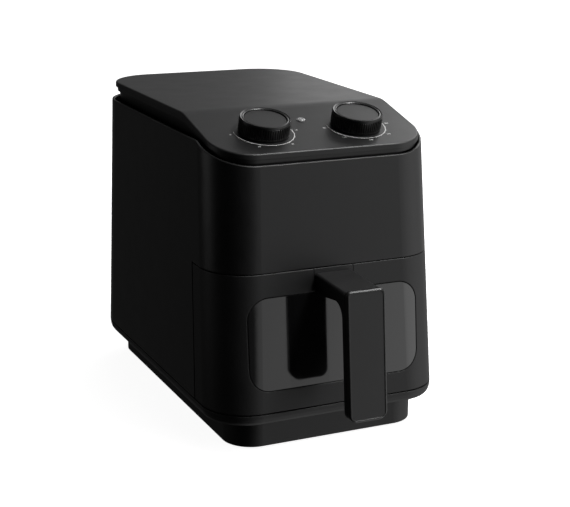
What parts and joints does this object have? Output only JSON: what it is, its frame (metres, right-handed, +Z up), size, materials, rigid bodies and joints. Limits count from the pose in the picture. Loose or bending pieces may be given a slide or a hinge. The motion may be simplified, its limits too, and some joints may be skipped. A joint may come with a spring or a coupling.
{
  "type": "air fryer",
  "caption": "Basket air fryer with a pull-out windowed drawer, a hanging handle, two dial knobs on a sloped panel and a tapered body.",
  "frame": {"origin": "on the surface that the feet stand on, midway between the front of the handle and the rear of the body, on the left-right middle plane", "axes": "+Z up, the drawer's front faces -Y, +X to the right as seen from the front"},
  "size_m": [0.252, 0.4522, 0.3269],
  "materials": {
    "shell_satin": "satin moulded black plastic",
    "shell_matt": "matt moulded black plastic",
    "cover_satin": "satin moulded black plastic",
    "handle_satin": "satin moulded black plastic",
    "knob_black": "ribbed moulded black plastic",
    "knob_disc": "satin black plastic",
    "window_smoke": "smoked glass",
    "inner_glass": "tempered glass",
    "seal_rubber": "black silicone rubber",
    "basket_coating": "dark non-stick coating",
    "inner_plastic": "black inner plastic",
    "galvanised_sheet": "galvanised sheet steel",
    "element_steel": "heat-tinted stainless steel",
    "felt": "ceramic felt",
    "motor_steel": "steel",
    "brass": "sintered bronze",
    "copper_coil": "enamelled copper winding",
    "fan_aluminium": "pressed aluminium",
    "screw_steel": "zinc-plated screws",
    "lens": "translucent indicator lens",
    "lamp": "neon lamp"
  },
  "bodies": {
    "housing": {"outer_housing": "shell_satin", "base_tray": "shell_matt", "base_deck": "inner_plastic", "rubber_feet_front": "seal_rubber", "rubber_feet_rear": "seal_rubber", "base_screws": "screw_steel", "top_cover": "cover_satin", "top_collar": "shell_satin", "indicator_lens": "lens", "indicator_lamp": "lamp", "control_bracket": "galvanised_sheet", "thermostat_body": "motor_steel", "timer_body": "inner_plastic", "chamber_bezel": "inner_plastic", "chamber_liner": "galvanised_sheet", "liner_spacers": "inner_plastic", "drawer_rail_left": "galvanised_sheet", "drawer_rail_right": "galvanised_sheet", "heating_hood": "galvanised_sheet", "heating_element": "element_steel", "element_clips": "galvanised_sheet", "element_guard": "element_steel", "insulation_mat": "felt", "heat_shield": "galvanised_sheet", "thermal_cutout": "motor_steel", "thermostat_bulb": "element_steel", "motor_bracket": "galvanised_sheet", "motor_bearing_lower": "brass", "motor_stator": "motor_steel", "motor_coil": "copper_coil", "motor_bearing_upper": "brass", "rear_grille": "inner_plastic", "exhaust_duct": "inner_plastic", "cord_gland": "inner_plastic", "drawer_switch": "inner_plastic"},
    "fan_rotor": {"motor_shaft": "motor_steel", "motor_rotor": "motor_steel", "convection_fan": "fan_aluminium", "cooling_fan": "fan_aluminium", "fan_nut": "screw_steel"},
    "temperature_dial": {"temperature_knob": "knob_black", "temperature_knob_disc": "knob_disc", "thermostat_shaft": "motor_steel"},
    "timer_dial": {"timer_knob": "knob_black", "timer_knob_disc": "knob_disc", "timer_shaft": "motor_steel"},
    "drawer": {"drawer_front": "shell_matt", "window_pane": "window_smoke", "window_gasket": "seal_rubber", "drawer_frame": "inner_plastic", "basket": "basket_coating", "basket_window": "inner_glass", "basket_window_seal": "seal_rubber", "handle_base": "shell_matt", "handle_back_shell": "handle_satin", "handle_front_panel": "handle_satin", "handle_screws": "screw_steel"},
    "crisper": {"crisper_plate": "basket_coating", "plate_bumpers": "seal_rubber"},
    "plunger": {"switch_plunger": "inner_plastic"}
  },
  "joints": [
    {"name": "drawer_slide", "type": "slide", "parent": "housing", "child": "drawer", "axis": [0, -1, 0], "range_m": [0, 0.3]},
    {"name": "temperature_turn", "type": "hinge", "parent": "housing", "child": "temperature_dial", "pos_m": [0.0504, -0.0875, 0.30556], "axis": [0, -0.2397, 0.9708], "range_deg": [-270, 0]},
    {"name": "timer_turn", "type": "hinge", "parent": "housing", "child": "timer_dial", "pos_m": [-0.0504, -0.0875, 0.30556], "axis": [0, -0.2397, 0.9708], "range_deg": [-300, 0]},
    {"name": "fan_spin", "type": "hinge", "parent": "housing", "child": "fan_rotor", "pos_m": [0, 0.03, 0.24], "axis": [0, 0, 1], "continuous": true},
    {"name": "crisper_lift", "type": "slide", "parent": "drawer", "child": "crisper", "axis": [0, 0, 1], "range_m": [0, 0.09]},
    {"name": "plunger_drop", "type": "slide", "parent": "housing", "child": "plunger", "axis": [0, 0, -1], "range_m": [0, 0.003]}
  ],
  "couplings": [
    {"joint": "plunger_drop", "follows": "drawer_slide", "ratio": 0.01}
  ]
}
